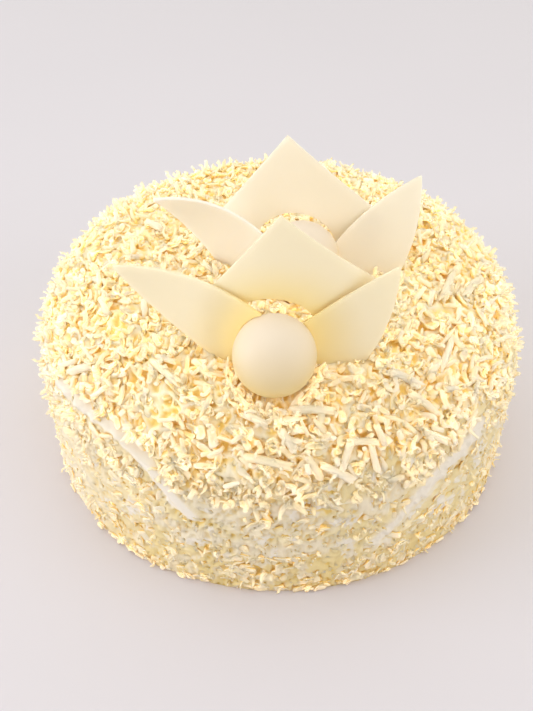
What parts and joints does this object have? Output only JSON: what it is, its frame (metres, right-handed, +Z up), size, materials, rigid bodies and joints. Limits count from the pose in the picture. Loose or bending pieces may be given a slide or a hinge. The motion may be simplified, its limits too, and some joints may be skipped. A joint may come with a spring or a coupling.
{
  "type": "white forest cake",
  "caption": "Round cream-covered layer cake under white chocolate shavings, topped with two flowers of curved chocolate plates and a ball each.",
  "frame": {"origin": "middle of the cake's flat base", "axes": "+Z up, -Y towards the front, where the first chocolate ball is, +X to the right of a viewer at the front"},
  "size_m": [0.2137, 0.2127, 0.1556],
  "materials": {
    "shavings": "shaved white chocolate, waxy and matte, over white whipped cream",
    "cream": "smooth white whipped cream, soft and matte",
    "chocolate_plate": "moulded white chocolate, smooth with a soft sheen",
    "chocolate_ball": "white chocolate ball, smooth and matte"
  },
  "bodies": {
    "root": {"cake": "shavings", "ball_front": "chocolate_ball", "leaf_front_left": "chocolate_plate", "leaf_front_right": "chocolate_plate", "square_front": "chocolate_plate", "ball_back": "chocolate_ball", "leaf_back_left": "chocolate_plate", "leaf_back_right": "chocolate_plate", "square_back": "chocolate_plate"}
  },
  "joints": []
}
